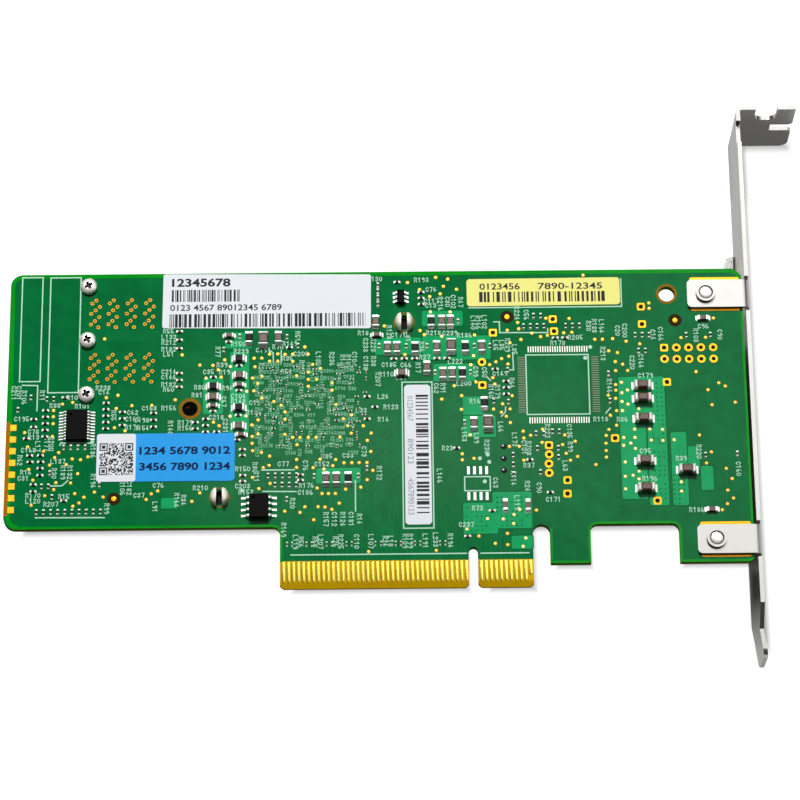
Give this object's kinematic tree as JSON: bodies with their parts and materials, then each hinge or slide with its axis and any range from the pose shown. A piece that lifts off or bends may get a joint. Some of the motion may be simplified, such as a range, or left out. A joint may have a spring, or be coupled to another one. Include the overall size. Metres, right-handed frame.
{
  "type": "host bus adapter",
  "caption": "Flat circuit board with a gold edge connector, a folded steel slot bracket, a finned heatsink and drive cable ports, joining a server's expansion slot to its drives.",
  "frame": {"origin": "middle of the key notch, on the contact edge, in the board's solder face", "axes": "+X along the board towards the mounting bracket, +Y away from the edge contacts, +Z out of the solder face, up as the card lies with its component side down"},
  "size_m": [0.1658, 0.12, 0.0196],
  "materials": {
    "board": "glossy green solder mask",
    "gold": "hard gold plating",
    "steel": "satin plated sheet steel",
    "screw": "bright plated steel",
    "brass": "bare brass",
    "spring": "drawn spring wire",
    "mould": "black moulded plastic",
    "chip": "black moulding compound",
    "lid": "nickel plated lid",
    "tin": "tin plated terminals",
    "ceramic": "brown ceramic",
    "ferrite": "dark ferrite",
    "anodised": "black anodised aluminium",
    "pad": "grey thermal pad",
    "lamp": "clear lamp resin",
    "white_paper": "printed white label",
    "yellow_paper": "printed yellow label",
    "blue_paper": "printed blue and white label"
  },
  "bodies": {
    "root": {"circuit_board": "board", "edge_contacts_solder_side": "gold", "edge_contacts_component_side": "gold", "edge_test_pads": "gold", "mounting_bracket": "steel", "bracket_screws": "screw", "controller_chip": "lid", "thermal_pad": "pad", "heatsink": "anodised", "heatsink_push_pins": "brass", "push_pin_springs": "spring", "connector_frame": "mould", "port_insulators": "mould", "port_contacts": "gold", "connector_screws": "screw", "expander_chip_body": "chip", "expander_chip_leads": "tin", "memory_chip_body": "chip", "memory_chip_leads": "tin", "supervisor_chip_body": "chip", "supervisor_chip_leads": "tin", "large_capacitor_bodies": "ceramic", "large_capacitor_terminals": "tin", "filter_capacitor_bodies": "ceramic", "filter_capacitor_terminals": "tin", "filter_bead_bodies": "ferrite", "filter_bead_terminals": "tin", "power_inductor_bodies": "ferrite", "power_inductor_terminals": "tin", "polymer_capacitor_bodies": "chip", "polymer_capacitor_terminals": "tin", "regulator_chips": "chip", "flash_chip": "chip", "crystal": "lid", "status_leds": "lamp", "white_label": "white_paper", "yellow_label": "yellow_paper", "blue_label": "blue_paper", "narrow_label": "white_paper"}
  },
  "joints": []
}
